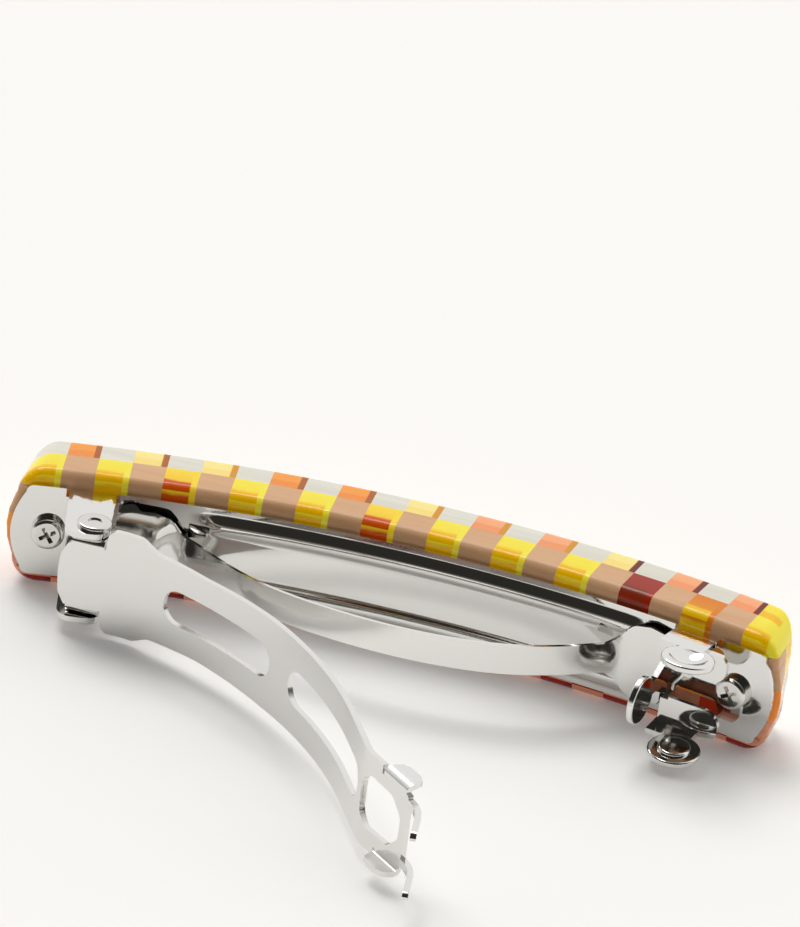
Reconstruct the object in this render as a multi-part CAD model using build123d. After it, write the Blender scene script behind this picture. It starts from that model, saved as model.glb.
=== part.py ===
"""Hinged hair barrette: a curved acetate cover screwed to a sheet-steel clip with a swing arm.

Millimetres. +X runs from the hinge end to the catch end, +Z across the width, and -Y points from the
back of the cover towards the hair. The barrette stands on the long edge of its cover, arm swung open.
"""

import os
from math import asin, atan2, cos, degrees, radians, sin

from build123d import *

# Cover
COVER_WIDTH = 13.28
COVER_THICK = 7.2
COVER_HALF = 42.0
COVER_CORNER = 3.0
COVER_END_BULGE = 0.9
COVER_FRONT_ROUND = 1.5

# Bow of the whole barrette: the cover's back is a cylinder about an axis along Z
BOW_RADIUS = 142.0
BACK_Y = -COVER_THICK / 2
BOW_CENTRE_Y = BACK_Y - BOW_RADIUS
MID_Z = COVER_WIDTH / 2

# Base plate, pressed from sheet
SHEET = 0.6
GAP = 0.02
PLATE_HALF_WIDTH = 5.12
PLATE_HALF = 39.9
PLATE_END_BULGE = 1.4
BEAD_OFFSET = 3.8
BEAD_HALF_WIDTH = 0.5
BEAD_RISE = 0.5
BEAD_START = -21.5
BEAD_END = 26.4
SPRING_SEAT_WINDOW = (-30.2, -27.0, 2.7, 4.4)
CATCH_SEAT_WINDOW = (26.9, 29.2, 3.1, 4.4)
SHELF_WINDOW = (30.0, 35.3, 1.6, 4.3)
LANCES = (-21.8, 22.4)
LANCE_LENGTH = 2.2
LANCE_RISE = 1.5

# Mounting screws
SCREW_STATIONS = (-37.3, 36.8)
SCREW_SHANK_R = 0.8
SCREW_LENGTH = 4.0
SCREW_HEAD_R = 1.75
SCREW_HEAD_THICK = 1.05
SCREW_RECESS = 0.7
SCREW_SEAT = SHEET + 0.03
PLATE_HOLE_R = 0.9

# Hinge
PIVOT = (-30.2, -14.95)
EAR_STATION = -33.0
EAR_HALF_WIDTH = 2.45
EAR_HEIGHT = 10.1
EAR_CORNER = 1.7
RIVET_SHANK_R = 0.8
RIVET_BORE_R = 0.85
RIVET_HEAD_R = 1.8
RIVET_HEAD_THICK = 0.45
RIVET_TAIL_R = 1.15
RIVET_TAIL_THICK = 0.35

# Swing arm: plan path as (length, turn in degrees), starting beside the hinge
ARM_START = (-32.3, -16.55)
ARM_STRIP = (
    (5.7, 0.0),
    (2.4, -17.0),
    (38.0, -44.0),
    (6.2, 0.0),
    (1.7, 19.0),
    (6.6, 0.0),
)
PRONG_PATH = ((3.2, -40.0), (3.6, 0.0))
ARM_THICK = 0.6
ARM_HALF_WIDTH = 5.0
LOBE_HALF_WIDTH = 5.9
BASE_HALF_WIDTH = 4.25
LOBE_FROM_X = -28.1
LOBE_TO_X = -22.6
SLOT_ONE = (19.2, 15.8, 3.8)
SLOT_TWO = (39.6, 18.4, 3.8)
HOLE_AT = 57.2
HOLE_LENGTH = 5.0
HOLE_HALF_WIDTH = 2.3
PRONG_INNER = 2.85
PRONG_OUTER = 3.7
WING_LENGTH = 5.6
WING_RISE = 2.5
CHEEK_OUTER = 4.4
CHEEK_R = 1.75

# Tension spring
SPRING_THICK = 0.4
SPRING_HALF_WIDTH = 1.65
SPRING_START = (-22.6, -6.32)
SPRING_START_HEADING = -41.0
SPRING_STRIP = ((7.9, 11.4), (7.1, 16.2), (10.0, 10.5), (9.9, 13.6), (7.1, 17.4), (9.3, 13.9))
SPRING_FOOT = (-30.6, -22.4, 4.1)
SPOON_STATION = 26.2
SPOON_R = 3.4

# Catch
LUG_FROM = 29.8
LUG_TO = 34.5
STUB_RISE = 1.0
LUG_SEAM = 0.05
LUG_LEAN = 5.0
LUG_TOP = 5.2
PAD_STATION = 34.0
PAD_HEIGHT = 7.0
PAD_R = 2.75
PAD_THICK = 0.7
DOME_R = 1.7
DOME_RISE = 0.35
SHELF_HEIGHT = 2.9
SHELF_THICK = 0.5
SHELF_FREE_EDGE = 1.63
SHELF_FROM = 31.0
SHELF_TO = 36.9
SHELF_TOE = 1.25
WALL_STATION = 29.65
WALL_FOOT_HALF = 2.9
WALL_NECK_HALF = 0.8
WALL_NECK_HEIGHT = 4.6
STOP_HEIGHT = 8.6
STOP_R = 2.55
STOP_THICK = 0.7
STOP_SHIFT = 0.3  # the disc stands off towards the catch so the arm's end passes behind it


def on_bow(station, off=0.0):
    """Point at an arc length along the cover's back, raised off it towards the front."""
    turn = station / BOW_RADIUS
    radius = BOW_RADIUS + off
    return Vector(radius * sin(turn), BOW_CENTRE_Y + radius * cos(turn), 0)


def station_plane(station, height=0.0, z=MID_Z):
    """Plane lying on the bow: x along it, y across the width, z rising towards the hair."""
    turn = station / BOW_RADIUS
    foot = on_bow(station, -height)
    return Plane(
        origin=(foot.X, foot.Y, z),
        x_dir=(cos(turn), -sin(turn), 0),
        z_dir=(-sin(turn), -cos(turn), 0),
    )


def bow_slab(start, end, low, high, z_from, z_to):
    """Curved slab between two stations, two heights above the cover's back and two levels."""
    middle = (start + end) / 2
    inner = ThreePointArc(on_bow(start, -low), on_bow(middle, -low), on_bow(end, -low))
    outer = ThreePointArc(on_bow(start, -high), on_bow(middle, -high), on_bow(end, -high))
    sides = [Line(inner @ 0, outer @ 0), Line(inner @ 1, outer @ 1)]
    face = make_face([inner, outer] + sides)
    return extrude(Pos(0, 0, z_from) * face, amount=z_to - z_from, dir=(0, 0, 1))


def walk(start, heading, segments):
    """Stations of a path made of straight runs and tangent arcs, each (point, heading)."""
    stops = [(Vector(*start), heading)]
    for length, turn in segments:
        point, heading = stops[-1]
        chord = length
        if turn:
            half = radians(abs(turn)) / 2
            chord = length * sin(half) / half
        aim = radians(heading + turn / 2)
        stops.append((point + Vector(chord * cos(aim), chord * sin(aim), 0), heading + turn))
    return stops


def partial(segments, length):
    """The first part of a path's segments, up to a length."""
    taken = []
    for run, turn in segments:
        if length <= 0:
            break
        share = min(1.0, length / run)
        taken.append((run * share, turn * share))
        length -= run
    return taken


def strip(start, heading, segments, thick, z_from, z_to):
    """Sheet of constant thickness that follows a plan path, standing between two levels."""
    stops = walk(start, heading, segments)
    rails = []
    for side in (thick / 2, -thick / 2):
        rail = []
        for (run, turn), (first, angle_a), (last, angle_b) in zip(segments, stops, stops[1:]):
            ends = []
            for point, angle in ((first, angle_a), (last, angle_b)):
                ends.append(point + Vector(-sin(radians(angle)), cos(radians(angle)), 0) * side)
            if turn:
                middle, angle = walk(first, angle_a, [(run / 2, turn / 2)])[-1]
                knee = middle + Vector(-sin(radians(angle)), cos(radians(angle)), 0) * side
                rail.append(ThreePointArc(ends[0], knee, ends[1]))
            else:
                rail.append(Line(*ends))
        rails.append(rail)
    caps = [Line(rails[0][0] @ 0, rails[1][0] @ 0), Line(rails[0][-1] @ 1, rails[1][-1] @ 1)]
    face = make_face(rails[0] + rails[1] + caps)
    return extrude(Pos(0, 0, z_from) * face, amount=z_to - z_from, dir=(0, 0, 1))


def path_plane(start, heading, segments, length):
    """Plane on a plan path: x along the path, y across the width, z out of the sheet."""
    point, angle = walk(start, heading, partial(segments, length))[-1]
    turn = radians(angle)
    return Plane(
        origin=(point.X, point.Y, MID_Z),
        x_dir=(cos(turn), sin(turn), 0),
        z_dir=(sin(turn), -cos(turn), 0),
    )


def outline_prism(half_length, half_width, corner, bulge, depth=20.0):
    """Solid with that outline, deep enough to cut through the bow."""
    straight = half_length - corner
    top = half_width - corner
    knee = corner * (1 - cos(radians(45)))
    right = [
        ThreePointArc(
            (straight, half_width), (half_length - knee, half_width - knee), (half_length, top)
        ),
        ThreePointArc((half_length, top), (half_length + bulge, 0), (half_length, -top)),
        ThreePointArc(
            (half_length, -top), (half_length - knee, knee - half_width), (straight, -half_width)
        ),
    ]
    left = [edge.mirror(Plane.YZ) for edge in right]
    level = [
        Line((-straight, half_width), (straight, half_width)),
        Line((-straight, -half_width), (straight, -half_width)),
    ]
    face = make_face(right + left + level)
    upright = Plane(origin=(0, 0, MID_Z), x_dir=(1, 0, 0), z_dir=(0, -1, 0))
    return extrude(upright * face, amount=depth, both=True)


def bow_x(station):
    """X of a station on the cover's back."""
    return BOW_RADIUS * sin(station / BOW_RADIUS)


def mirrored(solid):
    """Copy of a solid on the other side of the barrette's mid width."""
    return mirror(solid, about=Plane(origin=(0, 0, MID_Z), z_dir=(0, 0, 1)))


def acetate_cover():
    """Curved bar of laminated acetate with rounded ends and two pilot holes for the screws."""
    bar = bow_slab(-COVER_HALF - 6, COVER_HALF + 6, -COVER_THICK, 0, 0, COVER_WIDTH)
    prism = outline_prism(
        bow_x(COVER_HALF) - COVER_END_BULGE, COVER_WIDTH / 2, COVER_CORNER, COVER_END_BULGE
    )
    bar = bar & prism
    broad = bar.faces().filter_by(GeomType.CYLINDER).sort_by(SortBy.AREA)[-2:]
    front = broad.sort_by(Axis.Y)[-1]
    bar = fillet(front.edges(), COVER_FRONT_ROUND)
    for station in SCREW_STATIONS:
        pilot = Pos(0, 0, -SCREW_LENGTH) * Cylinder(
            SCREW_SHANK_R, SCREW_LENGTH, align=(Align.CENTER, Align.CENTER, Align.MIN)
        )
        bar -= station_plane(station) * pilot
    return bar


def window(start, end, inner, outer, corner=0.5):
    """Rounded opening through the plate, given by its stations and distances from mid width."""
    middle = (start + end) / 2
    shape = RectangleRounded(end - start, outer - inner, corner)
    cut = extrude(Pos(0, (inner + outer) / 2, 0) * shape, amount=1.5, both=True)
    return station_plane(middle) * cut


def ear():
    """Hinge ear folded up from the plate's edge, rounded at its tip and bored for the rivet."""
    height = EAR_HEIGHT - SHEET
    shape = Rectangle(2 * EAR_HALF_WIDTH, height, align=(Align.CENTER, Align.MIN))
    shape = fillet(shape.vertices().group_by(Axis.Y)[-1], EAR_CORNER)
    upright = station_plane(EAR_STATION, GAP + 0.1, MID_Z + PLATE_HALF_WIDTH)
    blank = Plane(origin=upright.origin, x_dir=upright.x_dir, z_dir=(0, 0, -1))
    sheet = extrude(blank * shape, amount=SHEET)
    bore = Pos(PIVOT[0], PIVOT[1], MID_Z) * Cylinder(RIVET_SHANK_R, 20)
    return sheet - bore


def lance(station, lean):
    """Small pointed tongue pushed up from the plate to hold one end of the tension spring."""
    profile = Polygon(
        (0, 0), (LANCE_LENGTH, 0), (LANCE_LENGTH * 0.25, LANCE_RISE), align=None
    )
    side = station_plane(station, SHEET - 0.1)
    upright = Plane(origin=side.origin, x_dir=side.x_dir * lean, z_dir=(0, 0, -lean))
    return extrude(upright * profile, amount=SHEET / 2, both=True)


def base_plate():
    """Pressed plate with stiffening beads, windows, hinge ears, catch stubs and spring lances."""
    prism = outline_prism(
        bow_x(PLATE_HALF), PLATE_HALF_WIDTH, 1.2, PLATE_END_BULGE
    )
    plate = bow_slab(-44, 44, GAP, SHEET, -1, COVER_WIDTH + 1) & prism
    side = [ear()]
    bead = bow_slab(
        BEAD_START,
        BEAD_END,
        SHEET - 0.1,
        SHEET + BEAD_RISE,
        MID_Z + BEAD_OFFSET - BEAD_HALF_WIDTH,
        MID_Z + BEAD_OFFSET + BEAD_HALF_WIDTH,
    )
    crown = bead.faces().filter_by(GeomType.CYLINDER).sort_by(SortBy.AREA)[-2:]
    outer = max(crown, key=lambda f: -f.center().Y)
    side.append(fillet(outer.edges(), 0.35))
    side.append(
        bow_slab(
            LUG_FROM,
            LUG_TO,
            GAP + 0.1,
            SHEET + STUB_RISE,
            MID_Z + PLATE_HALF_WIDTH - SHEET,
            MID_Z + PLATE_HALF_WIDTH,
        )
    )
    for piece in side:
        plate += piece
        plate += mirrored(piece)
    for opening in (SPRING_SEAT_WINDOW, CATCH_SEAT_WINDOW, SHELF_WINDOW):
        cut = window(*opening)
        plate -= cut
        plate -= mirrored(cut)
    for station in SCREW_STATIONS:
        plate -= station_plane(station) * Cylinder(PLATE_HOLE_R, 3)
    plate += lance(LANCES[0], 1)
    plate += lance(LANCES[1], -1)
    return plate


def mounting_screw(station):
    """Small pan-head screw with a cross recess, seated on the plate."""
    up = (Align.CENTER, Align.CENTER, Align.MIN)
    head = Pos(0, 0, SCREW_SEAT) * Cylinder(SCREW_HEAD_R, SCREW_HEAD_THICK, align=up)
    head = fillet(head.edges().sort_by(Axis.Z)[-1:], 0.5)
    shank = Pos(0, 0, -SCREW_LENGTH) * Cylinder(SCREW_SHANK_R, SCREW_LENGTH + SHEET + 0.1, align=up)
    screw = head + shank
    for angle in (30, 120):
        bar = Box(1.9, 0.45, SCREW_RECESS * 2)
        screw -= Pos(0, 0, SCREW_SEAT + SCREW_HEAD_THICK) * Rot(0, 0, angle) * bar
    return station_plane(station) * screw


def hinge_rivet():
    """Staked rivet through one ear and the arm's cheek, with a wide outer head."""
    up = (Align.CENTER, Align.CENTER, Align.MIN)
    inner = CHEEK_OUTER - SHEET
    shank = Pos(0, 0, inner - 0.1) * Cylinder(
        RIVET_SHANK_R, PLATE_HALF_WIDTH - inner + 0.2, align=up
    )
    head = Pos(0, 0, PLATE_HALF_WIDTH) * Cylinder(RIVET_HEAD_R, RIVET_HEAD_THICK, align=up)
    head = fillet(head.edges().sort_by(Axis.Z)[-1:], 0.25)
    tail = Pos(0, 0, inner - 0.05 - RIVET_TAIL_THICK) * Cylinder(
        RIVET_TAIL_R, RIVET_TAIL_THICK, align=up
    )
    rivet = shank + head + tail
    dimple = Pos(0, 0, PLATE_HALF_WIDTH + RIVET_HEAD_THICK) * Cylinder(0.75, 0.3)
    return Pos(PIVOT[0], PIVOT[1], MID_Z) * (rivet - dimple)


def swing_arm():
    """Curved arm: base between the ears, two slots, a latch ring with folded wings and prongs."""
    blank = strip(
        ARM_START, 0, ARM_STRIP, ARM_THICK, MID_Z - LOBE_HALF_WIDTH, MID_Z + LOBE_HALF_WIDTH
    )
    left, mid = ARM_START[0] - 0.4, (LOBE_FROM_X + LOBE_TO_X) / 2
    outline = [
        (left, 0),
        (left, 2.0),
        (left + 1.8, BASE_HALF_WIDTH),
        (LOBE_FROM_X, BASE_HALF_WIDTH),
        (LOBE_FROM_X, LOBE_HALF_WIDTH - 0.6),
        (LOBE_FROM_X + 1.2, LOBE_HALF_WIDTH),
        (mid + 1.0, LOBE_HALF_WIDTH),
        (LOBE_TO_X, ARM_HALF_WIDTH - 0.15),
        (-16.0, ARM_HALF_WIDTH - 0.4),
        (-6.0, ARM_HALF_WIDTH),
        (30.0, ARM_HALF_WIDTH),
        (30.0, 0),
    ]
    half = make_face(Polyline(*outline, close=True))
    face = half + half.mirror(Plane.XZ)
    upright = Plane(origin=(0, 0, MID_Z), x_dir=(1, 0, 0), z_dir=(0, -1, 0))
    arm = blank & extrude(upright * face, amount=80, both=True)
    for at, length, height in (SLOT_ONE, SLOT_TWO):
        slot = extrude(SlotOverall(length, height), amount=3, both=True)
        arm -= path_plane(ARM_START, 0, ARM_STRIP, at) * slot
    ring = path_plane(ARM_START, 0, ARM_STRIP, HOLE_AT)
    hole = RectangleRounded(HOLE_LENGTH, 2 * HOLE_HALF_WIDTH, 2.0)
    arm -= ring * extrude(hole, amount=2, both=True)
    end = walk(ARM_START, 0, ARM_STRIP)[-1]
    for side in (1, -1):
        low = MID_Z + min(side * PRONG_INNER, side * PRONG_OUTER)
        high = low + PRONG_OUTER - PRONG_INNER
        prong = strip((end[0].X, end[0].Y), end[1], PRONG_PATH, ARM_THICK, low, high)
        arm += prong
        wing = Box(WING_LENGTH, SHEET, WING_RISE, align=(Align.CENTER, Align.CENTER, Align.MAX))
        wing = fillet(wing.edges().filter_by(Axis.Y).sort_by(Axis.Z)[:2], 1.4)
        seat = Pos(0.2, side * (ARM_HALF_WIDTH - SHEET / 2), ARM_THICK / 2)
        arm += ring * seat * wing
        cheek_z = MID_Z + side * (CHEEK_OUTER - SHEET / 2)
        cheek = Pos(PIVOT[0], PIVOT[1], cheek_z) * Cylinder(CHEEK_R, SHEET)
        web = Pos(PIVOT[0], ARM_START[1], cheek_z) * Box(
            2 * CHEEK_R, PIVOT[1] - ARM_START[1], SHEET, align=(Align.CENTER, Align.MIN, Align.CENTER)
        )
        arm += cheek + web
    arm -= Pos(PIVOT[0], PIVOT[1], MID_Z) * Cylinder(RIVET_BORE_R, 30)
    return arm


def tension_spring():
    """Bowed leaf that pushes the closed arm away from the plate, with a foot at each end."""
    leaf = strip(
        SPRING_START,
        SPRING_START_HEADING,
        SPRING_STRIP,
        SPRING_THICK,
        MID_Z - SPRING_HALF_WIDTH,
        MID_Z + SPRING_HALF_WIDTH,
    )
    low = SHEET + 0.05
    start, end, half = SPRING_FOOT
    foot = bow_slab(start, end, low, low + SPRING_THICK, MID_Z - half, MID_Z + half)
    notch = station_plane((start + end) / 2 + 2.2) * Box(4.6, 2 * half + 1, 3)
    keep = station_plane((start + end) / 2 + 2.2) * Box(6, 2 * SPRING_HALF_WIDTH + 2.4, 4)
    foot -= notch - keep
    spoon = bow_slab(
        SPOON_STATION - 5, SPOON_STATION + 5, low, low + SPRING_THICK, MID_Z - 5, MID_Z + 5
    )
    spoon = spoon & (station_plane(SPOON_STATION) * Cylinder(SPOON_R, 6))
    clear = station_plane(WALL_STATION) * Box(1.6, 2 * WALL_FOOT_HALF + 0.6, 6)
    return leaf + foot + (spoon - clear)


def latch_wall():
    """Tapered tongue folded up across the plate, carrying the round stop the arm closes against."""
    foot = SHEET + 0.02
    profile = [
        (-WALL_FOOT_HALF, foot),
        (WALL_FOOT_HALF, foot),
        (WALL_NECK_HALF, WALL_NECK_HEIGHT),
        (WALL_NECK_HALF, STOP_HEIGHT),
        (-WALL_NECK_HALF, STOP_HEIGHT),
        (-WALL_NECK_HALF, WALL_NECK_HEIGHT),
    ]
    base = station_plane(WALL_STATION)
    along = Plane(origin=base.origin, x_dir=(0, 0, 1), z_dir=base.x_dir)
    if (along.y_dir - base.z_dir).length > 1:
        along = Plane(origin=base.origin, x_dir=(0, 0, -1), z_dir=base.x_dir)
    tab = extrude(along * make_face(Polyline(*profile, close=True)), amount=SHEET / 2, both=True)
    disc = Cylinder(STOP_R, STOP_THICK)
    disc = fillet(disc.edges(), 0.2)
    return tab + along * Pos(0, STOP_HEIGHT, STOP_SHIFT) * disc


def catch_lug():
    """Upper side lug of the catch: neck, dished finger pad and the shelf that guides the arm."""
    seam = SHEET + STUB_RISE + LUG_SEAM
    outer = MID_Z + PLATE_HALF_WIDTH
    middle = station_plane((LUG_FROM + LUG_TO) / 2, 0, outer)
    blank = Plane(origin=middle.origin, x_dir=middle.x_dir, z_dir=(0, 0, -1))
    lean = LUG_LEAN
    half = (LUG_TO - LUG_FROM) / 2
    neck = extrude(
        blank * Pos(0, seam, 0) * Rectangle(2 * half, LUG_TOP - seam, align=(Align.CENTER, Align.MIN)),
        amount=SHEET,
    )
    pad_foot = station_plane(PAD_STATION, 0, outer)
    pad_plane = Plane(origin=pad_foot.origin, x_dir=pad_foot.x_dir, z_dir=(0, 0, -1))
    pad = Pos(0, PAD_HEIGHT, 0) * Cylinder(
        PAD_R, PAD_THICK, align=(Align.CENTER, Align.CENTER, Align.MIN)
    )
    pad = fillet(pad.edges(), 0.2)
    dish = Pos(0, PAD_HEIGHT, -2.4) * Sphere(3.1)
    dome = Pos(0, PAD_HEIGHT, PAD_THICK - 0.05) * Cylinder(
        DOME_R, DOME_RISE + 0.05, align=(Align.CENTER, Align.CENTER, Align.MIN)
    )
    dome = fillet(dome.edges().sort_by(Axis.Z)[-1:], 0.25)
    lug = neck + pad_plane * ((pad + dome) - dish)
    foot = station_plane((LUG_FROM + LUG_TO) / 2, seam, outer - SHEET / 2)
    tilt = Axis(foot.origin, foot.x_dir)
    leaned = lug.rotate(tilt, -lean)
    if leaned.bounding_box().max.Z < lug.bounding_box().max.Z:
        leaned = lug.rotate(tilt, lean)
    shelf = bow_slab(
        SHELF_FROM,
        SHELF_TO,
        SHELF_HEIGHT,
        SHELF_HEIGHT + SHELF_THICK,
        MID_Z + SHELF_FREE_EDGE,
        outer - 0.25,
    )
    toe = bow_slab(
        SHELF_FROM - 0.9,
        SHELF_FROM + SHELF_THICK - 0.9,
        SHELF_TOE,
        SHELF_HEIGHT + SHELF_THICK,
        MID_Z + SHELF_FREE_EDGE + 0.3,
        outer - 0.75,
    )
    top = bow_slab(
        SHELF_FROM - 0.9,
        SHELF_FROM + 0.2,
        SHELF_HEIGHT,
        SHELF_HEIGHT + SHELF_THICK,
        MID_Z + SHELF_FREE_EDGE + 0.3,
        outer - 0.25,
    )
    nose = station_plane(SHELF_TO - 1.8, 0, MID_Z) * Pos(0, SHELF_FREE_EDGE + 1.8, 0)
    corner = nose * Box(4, 4, 12, align=(Align.MIN, Align.CENTER, Align.CENTER)) - nose * Cylinder(
        1.8, 14
    )
    shelf -= corner
    screw = SCREW_STATIONS[1]
    shelf -= station_plane(screw) * Cylinder(SCREW_HEAD_R + 0.25, 12)
    return leaned + shelf + toe + top


def write(name, shape):
    """Write one named sub-part."""
    export_step(shape, os.path.join("parts", name + ".step"))


def main():
    """Build every sub-part and write it."""
    os.makedirs("parts", exist_ok=True)
    write("acetate_cover", acetate_cover())
    write("base_plate", base_plate())
    write("mounting_screws", Compound([mounting_screw(s) for s in SCREW_STATIONS]))
    rivet = hinge_rivet()
    write("hinge_rivets", Compound([rivet, mirrored(rivet)]))
    write("swing_arm", swing_arm())
    write("tension_spring", tension_spring())
    write("latch_wall", latch_wall())
    lug = catch_lug()
    write("upper_catch_lug", lug)
    write("lower_catch_lug", mirrored(lug))


main()
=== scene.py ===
"""Chequered acetate barrette with its sheet-metal clip swung open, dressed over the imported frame.

Lengths are given in millimetres and turned to metres by MM. +X runs from the hinge to the catch, +Z across
the width, and -Y from the back of the cover towards the hair.
"""

from __future__ import annotations

import bisect
import logging
import math
from collections.abc import Callable
from dataclasses import dataclass
from enum import Enum

import bmesh
import bpy
from mathutils import Matrix, Vector

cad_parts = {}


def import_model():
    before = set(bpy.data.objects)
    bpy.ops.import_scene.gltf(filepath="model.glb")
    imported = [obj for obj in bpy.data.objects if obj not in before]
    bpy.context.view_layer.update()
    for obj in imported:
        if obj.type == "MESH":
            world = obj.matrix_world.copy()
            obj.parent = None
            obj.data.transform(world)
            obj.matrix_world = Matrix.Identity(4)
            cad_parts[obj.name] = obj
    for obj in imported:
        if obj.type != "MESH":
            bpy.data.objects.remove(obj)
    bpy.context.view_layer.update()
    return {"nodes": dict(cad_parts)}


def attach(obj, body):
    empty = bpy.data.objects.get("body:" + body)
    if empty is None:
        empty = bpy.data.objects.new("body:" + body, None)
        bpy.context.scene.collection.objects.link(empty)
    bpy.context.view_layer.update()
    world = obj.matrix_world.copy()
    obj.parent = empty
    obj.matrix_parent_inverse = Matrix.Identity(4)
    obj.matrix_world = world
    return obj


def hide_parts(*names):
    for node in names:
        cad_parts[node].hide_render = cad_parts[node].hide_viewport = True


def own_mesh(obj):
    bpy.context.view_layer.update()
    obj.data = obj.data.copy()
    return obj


LOG = logging.getLogger("barrette")
MM = 0.001
MID_Z = 6.64
RIVET_HOLE_R = 0.86
TILE_LAYERS = ("tile_light", "tile_deep", "tile_edge")
# the colour mixer's sockets go by number, because its number and vector sockets share their names
MIX_FIRST, MIX_SECOND, MIX_RESULT = 6, 7, 2
Point = tuple[float, float]


class Slot(Enum):
    """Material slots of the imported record."""

    ACETATE = "laminated_acetate"
    PLATE = "nickel_plated_plate"
    ARM = "nickel_plated_arm"
    CATCH = "nickel_plated_catch"
    SCREW = "nickel_plated_screw"
    SPRING = "spring_strip"


class Stock(Enum):
    """The two kinds of acetate block that the cover is laminated from."""

    CLEAR = 0
    PEARL = 1


def linear(code: str) -> tuple[float, float, float, float]:
    """Turn an sRGB hex colour into linear RGBA.

    Args:
        code: six hex digits, with or without a leading hash.

    Returns:
        Linear red, green, blue and an alpha of one.
    """
    digits = code.lstrip("#")
    parts = [int(digits[i : i + 2], 16) / 255 for i in (0, 2, 4)]
    low = [c / 12.92 if c <= 0.04045 else ((c + 0.055) / 1.055) ** 2.4 for c in parts]
    return (low[0], low[1], low[2], 1.0)


def grey(level: float) -> tuple[float, float, float, float]:
    """Make a linear grey.

    Args:
        level: 0 for black to 1 for white.

    Returns:
        The grey as RGBA.
    """
    return (level, level, level, 1.0)


def add_node(tree: bpy.types.NodeTree, kind: str, settings: dict | None = None, **links) -> bpy.types.Node:
    """Add a shader node with its settings and links.

    Args:
        tree: node tree that gets the node.
        kind: Blender's type name of the node.
        settings: attributes by name, and input values by socket name.
        links: output sockets by input socket name, with underscores for spaces.

    Returns:
        The new node.
    """
    node = tree.nodes.new(kind)
    for name, value in (settings or {}).items():
        if isinstance(name, int) or name in node.inputs:
            node.inputs[name].default_value = value
        else:
            setattr(node, name, value)
    for name, source in links.items():
        tree.links.new(source, node.inputs[name.replace("_", " ")])
    return node


def add_ramp(
    tree: bpy.types.NodeTree, source: bpy.types.NodeSocket, stops: list[tuple[float, tuple]]
) -> bpy.types.NodeSocket:
    """Add a colour ramp with its stops.

    Args:
        tree: node tree that gets the ramp.
        source: the number that the ramp reads.
        stops: position and colour of each stop, in order.

    Returns:
        The ramp's colour.
    """
    node = add_node(tree, "ShaderNodeValToRGB", Fac=source)
    ramp = node.color_ramp
    while len(ramp.elements) > 1:
        ramp.elements.remove(ramp.elements[-1])
    ramp.elements[0].position, ramp.elements[0].color = stops[0]
    for position, colour in stops[1:]:
        ramp.elements.new(position).color = colour
    return node.outputs["Color"]


def add_mix(
    tree: bpy.types.NodeTree,
    factor: bpy.types.NodeSocket,
    first: bpy.types.NodeSocket,
    second: bpy.types.NodeSocket,
) -> bpy.types.NodeSocket:
    """Add a mixer of two colours.

    Args:
        tree: node tree that gets the mixer.
        factor: share of the second colour.
        first: the first colour.
        second: the second colour.

    Returns:
        The mixed colour.
    """
    node = add_node(tree, "ShaderNodeMix", {"data_type": "RGBA"}, Factor=factor)
    tree.links.new(first, node.inputs[MIX_FIRST])
    tree.links.new(second, node.inputs[MIX_SECOND])
    return node.outputs[MIX_RESULT]


def new_surface(name: str) -> tuple[bpy.types.Material, bpy.types.NodeTree, bpy.types.Node]:
    """Start a material on the standard surface shader.

    Args:
        name: name of the real finish.

    Returns:
        The material, its node tree and its shader.
    """
    material = bpy.data.materials.new(name)
    material.use_nodes = True
    return material, material.node_tree, material.node_tree.nodes["Principled BSDF"]


def set_inputs(shader: bpy.types.Node, values: dict) -> None:
    """Set constants on a shader.

    Args:
        shader: the shader node.
        values: the constants by socket name.
    """
    for name, value in values.items():
        shader.inputs[name].default_value = value


@dataclass(frozen=True)
class NickelPlate:
    """Bright nickel over pressed steel: a mirror softened by fine polishing waves.

    It takes the studio's whites and dark gaps as clean bands, with a faint warm tint.
    """

    name: str
    colour: str = "#E3E2DF"
    roughness: float = 0.07
    gloss_range: tuple[float, float] = (0.7, 1.5)
    wave_mm: float = 2.4
    wave_depth: float = 0.010
    line_mm: float = 0.3

    def build(self) -> bpy.types.Material:
        """Make the material.

        Returns:
            The new material.
        """
        material, tree, shader = new_surface(self.name)
        place = add_node(tree, "ShaderNodeTexCoord").outputs["Object"]
        wave = add_node(
            tree, "ShaderNodeTexNoise", {"Scale": 1 / (self.wave_mm * MM), "Detail": 1.0}, Vector=place
        )
        # polishing lines too fine to show singly: they only break up the gloss a little
        lines = add_node(
            tree,
            "ShaderNodeTexNoise",
            {"Scale": 1 / (self.line_mm * MM), "Detail": 3.0, "Roughness": 0.6},
            Vector=place,
        )
        low, high = (self.roughness * share for share in self.gloss_range)
        gloss = add_node(
            tree,
            "ShaderNodeMapRange",
            {"From Min": 0.3, "From Max": 0.7, "To Min": low, "To Max": high},
            Value=lines.outputs["Fac"],
        )
        bump = add_node(
            tree,
            "ShaderNodeBump",
            {"Strength": 1.0, "Distance": self.wave_depth * MM},
            Height=wave.outputs["Fac"],
        )
        set_inputs(shader, {"Base Color": linear(self.colour), "Metallic": 1.0})
        tree.links.new(gloss.outputs["Result"], shader.inputs["Roughness"])
        tree.links.new(bump.outputs["Normal"], shader.inputs["Normal"])
        return material


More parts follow.
